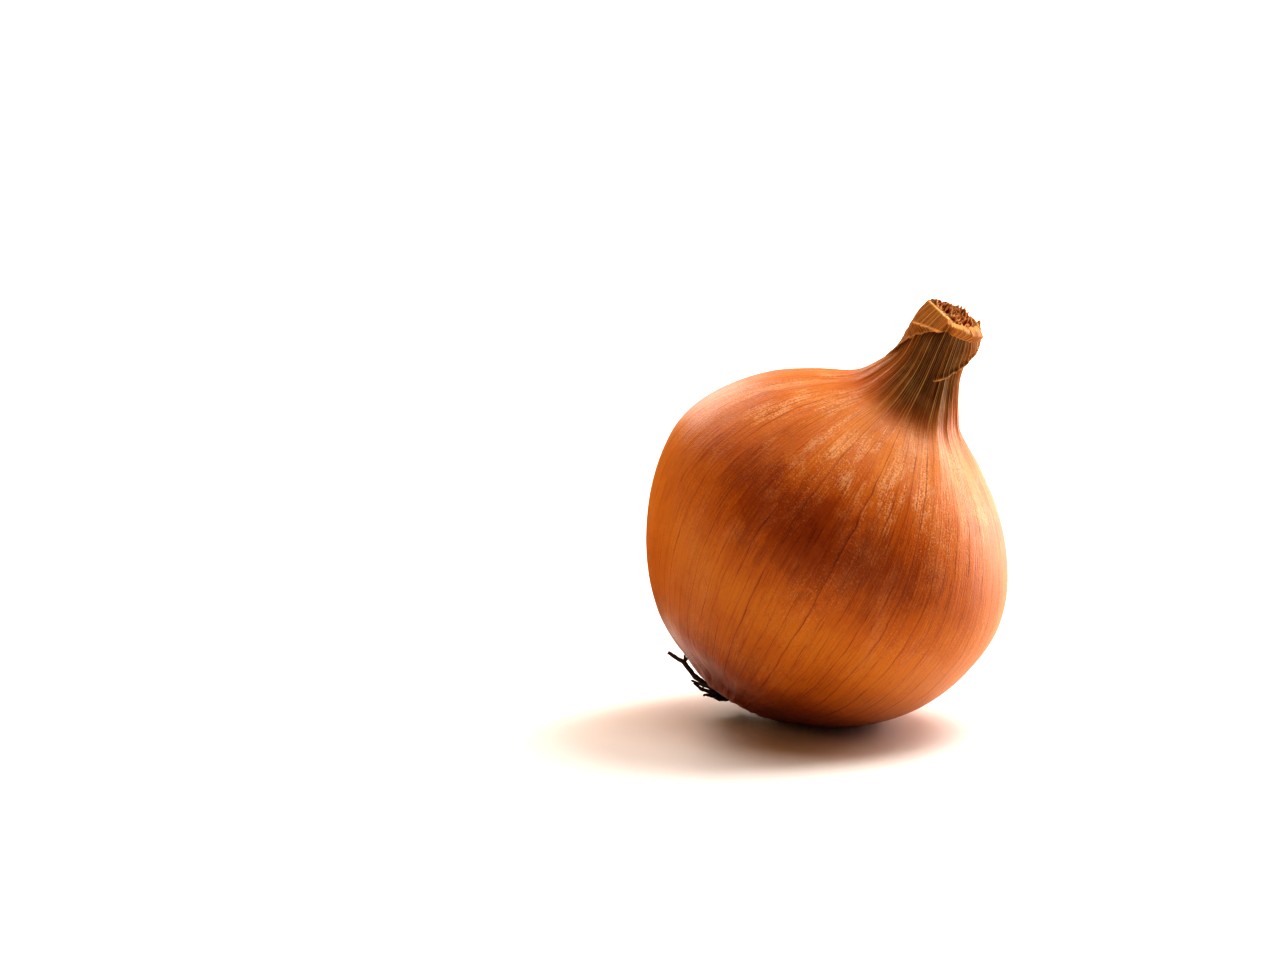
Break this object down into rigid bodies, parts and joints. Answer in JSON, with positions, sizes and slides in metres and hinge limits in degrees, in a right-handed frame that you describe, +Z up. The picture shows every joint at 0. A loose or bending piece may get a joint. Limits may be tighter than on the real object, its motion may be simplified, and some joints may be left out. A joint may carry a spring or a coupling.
{
  "type": "onion",
  "caption": "Whole dry brown onion: a papery skinned globe with a ribbed neck cut off square, dried inner leaves rolled in the cut, and a root plate with dried roots.",
  "frame": {"origin": "middle of the small flat spot the onion rests on", "axes": "+Z up; the onion leans over towards +X, its axis 28.5 degrees from the vertical, with the cut neck at the upper +X side and the root plate low at the -X side"},
  "size_m": [0.0744, 0.0778, 0.0883],
  "materials": {
    "dry_skin": "thin dry skin, copper brown with darker veins, satin",
    "dried_leaf": "dried leaf bases, red brown, matt, with ragged cut edges",
    "dried_root": "dried roots and root plate, dark brown, matt"
  },
  "bodies": {
    "root": {"bulb": "dry_skin", "neck_leaves": "dried_leaf", "roots": "dried_root"}
  },
  "joints": []
}
